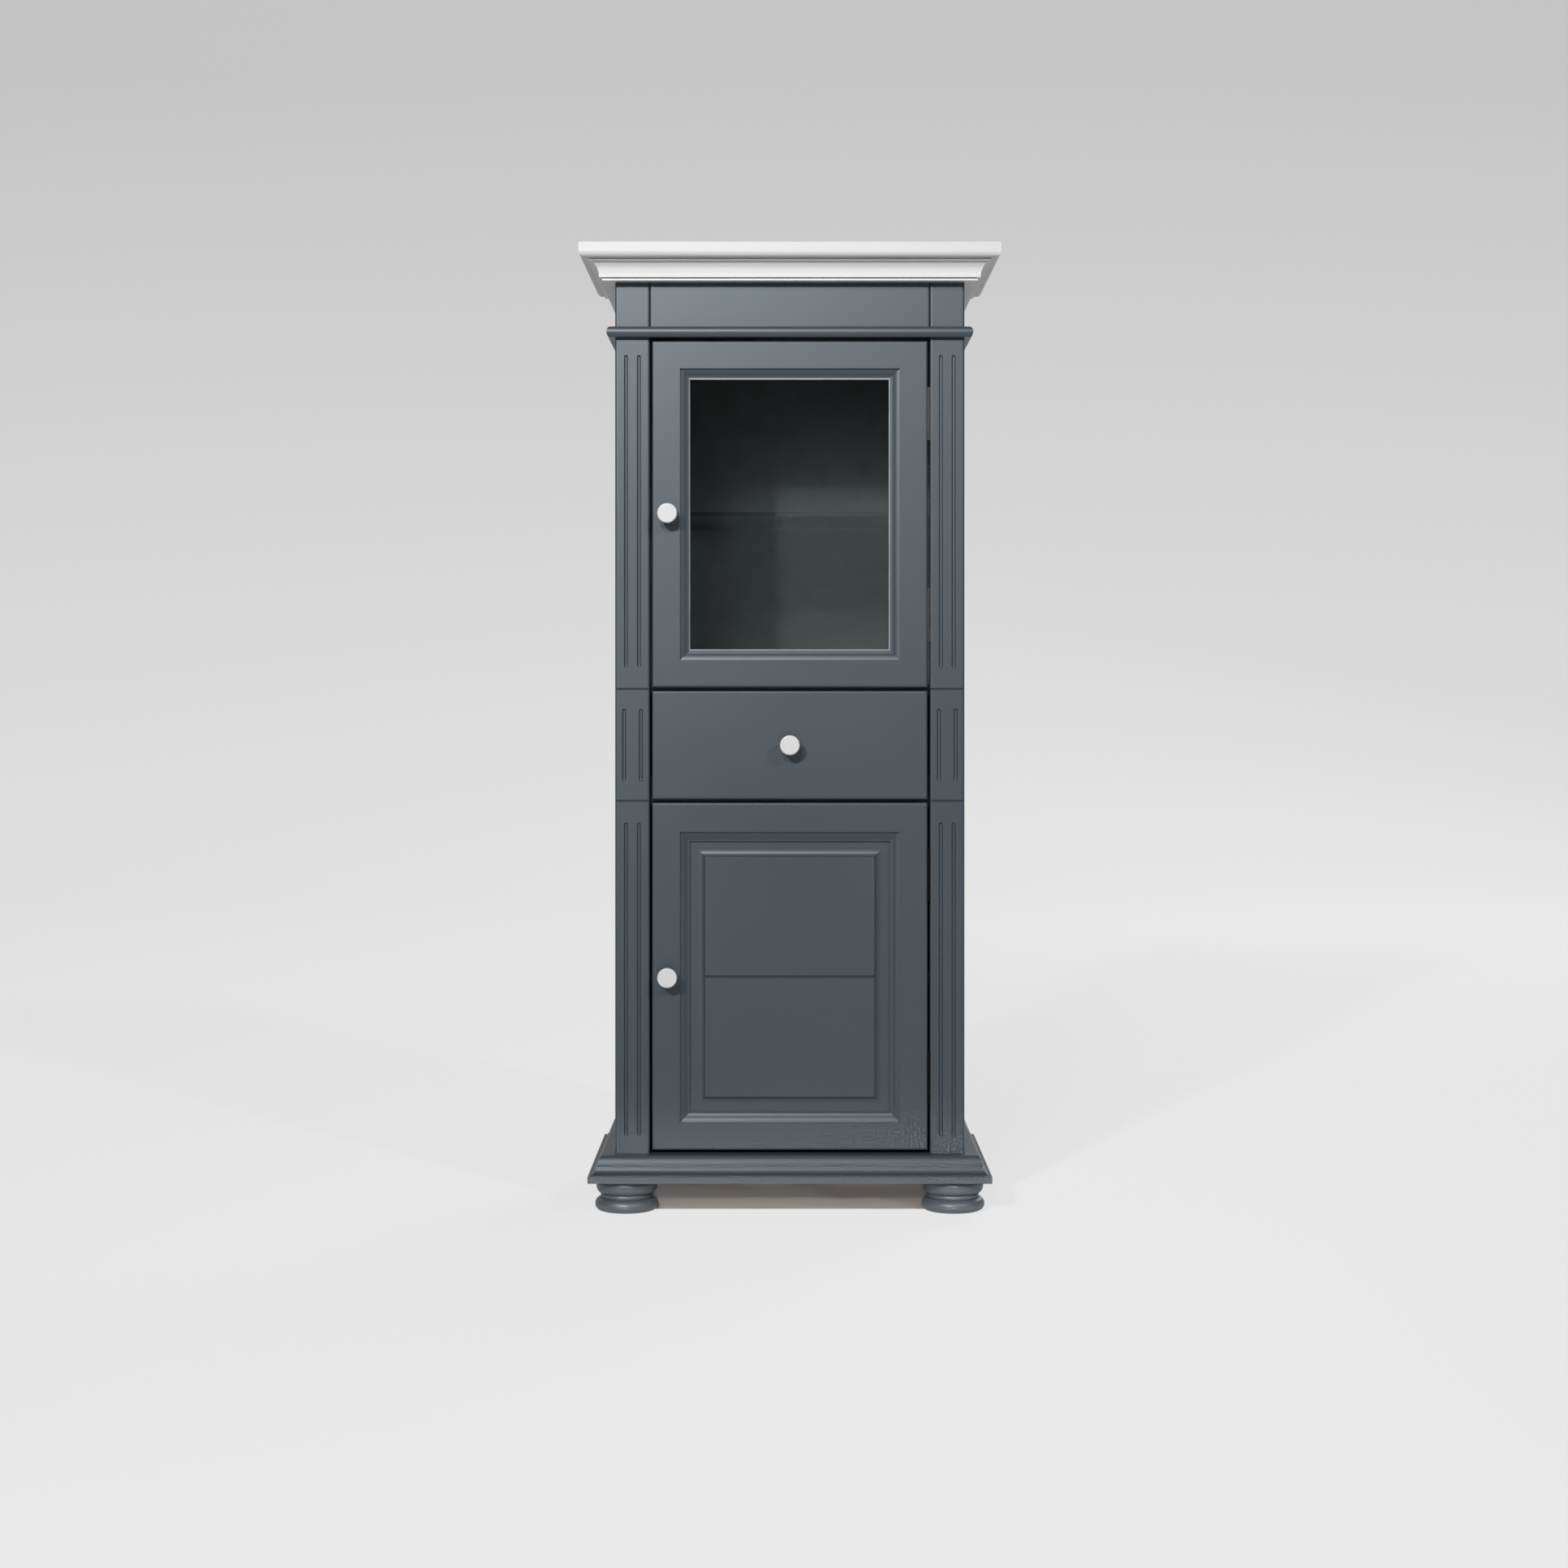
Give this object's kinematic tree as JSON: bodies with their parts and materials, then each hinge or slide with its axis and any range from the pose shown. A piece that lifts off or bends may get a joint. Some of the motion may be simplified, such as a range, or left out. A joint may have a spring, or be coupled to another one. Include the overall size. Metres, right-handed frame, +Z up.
{
  "type": "display cabinet",
  "caption": "Tall narrow painted cabinet with a glazed upper door, a middle drawer and a raised-panel lower door between fluted pilasters, under a moulded crown and on bun feet.",
  "frame": {"origin": "on the floor under the middle of the whole cabinet's box", "axes": "+Z up, the front with doors and drawer faces -Y, +X to the viewer's right"},
  "size_m": [0.631, 0.4116, 1.456],
  "materials": {
    "grey_paint": "satin grey paint",
    "white_paint": "satin white paint",
    "drawer_wood": "bare sanded pine",
    "back_board": "thin board, matt grey paint",
    "kick_wood": "plain brown-grey board",
    "clear_glass": "clear float glass with polished edges",
    "steel": "plain steel",
    "catch_plastic": "dark moulded plastic"
  },
  "bodies": {
    "carcass": {"side_panel_left": "grey_paint", "side_panel_right": "grey_paint", "back_panel": "back_board", "bottom_panel": "grey_paint", "top_panel": "grey_paint", "upper_divider": "grey_paint", "lower_divider": "grey_paint", "pilaster_left": "grey_paint", "pilaster_right": "grey_paint", "frieze_board": "grey_paint", "frieze_rail": "grey_paint", "base_rail": "grey_paint", "astragal_front": "grey_paint", "astragal_returns": "grey_paint", "crown_front": "white_paint", "crown_returns": "white_paint", "top_board": "white_paint", "base_board": "grey_paint", "plinth_front": "grey_paint", "plinth_returns": "grey_paint", "foot_front_left": "grey_paint", "foot_front_right": "grey_paint", "foot_back_left": "grey_paint", "foot_back_right": "grey_paint", "foot_studs": "steel", "kick_board": "kick_wood", "drawer_runners": "drawer_wood", "glass_shelf": "clear_glass", "lower_shelf": "grey_paint", "shelf_pins": "steel", "door_catches": "catch_plastic", "carcass_screws": "steel", "hinge_frame_leaves": "steel", "hinge_pins": "steel"},
    "upper_door": {"upper_door_stile_left": "grey_paint", "upper_door_stile_right": "grey_paint", "upper_door_rail_top": "grey_paint", "upper_door_rail_bottom": "grey_paint", "upper_door_moulding": "grey_paint", "upper_door_glass": "clear_glass", "upper_door_glazing_beads": "grey_paint", "upper_door_knob": "white_paint", "upper_door_hinge_leaves": "steel", "upper_door_fixings": "steel"},
    "lower_door": {"lower_door_stile_left": "grey_paint", "lower_door_stile_right": "grey_paint", "lower_door_rail_top": "grey_paint", "lower_door_rail_bottom": "grey_paint", "lower_door_moulding": "grey_paint", "lower_door_panel": "grey_paint", "lower_door_knob": "white_paint", "lower_door_hinge_leaves": "steel", "lower_door_fixings": "steel"},
    "drawer": {"drawer_front": "grey_paint", "drawer_side_left": "drawer_wood", "drawer_side_right": "drawer_wood", "drawer_back": "drawer_wood", "drawer_bottom": "drawer_wood", "drawer_knob": "white_paint", "drawer_knob_bolt": "steel"}
  },
  "joints": [
    {"name": "upper_door_hinge", "type": "hinge", "parent": "carcass", "child": "upper_door", "pos_m": [0.21, -0.15325, 1.0529], "axis": [0, 0, 1], "range_deg": [0, 110]},
    {"name": "lower_door_hinge", "type": "hinge", "parent": "carcass", "child": "lower_door", "pos_m": [0.21, -0.15325, 0.35435], "axis": [0, 0, 1], "range_deg": [0, 110]},
    {"name": "drawer_slide", "type": "slide", "parent": "carcass", "child": "drawer", "axis": [0, -1, 0], "range_m": [0, 0.24]}
  ]
}
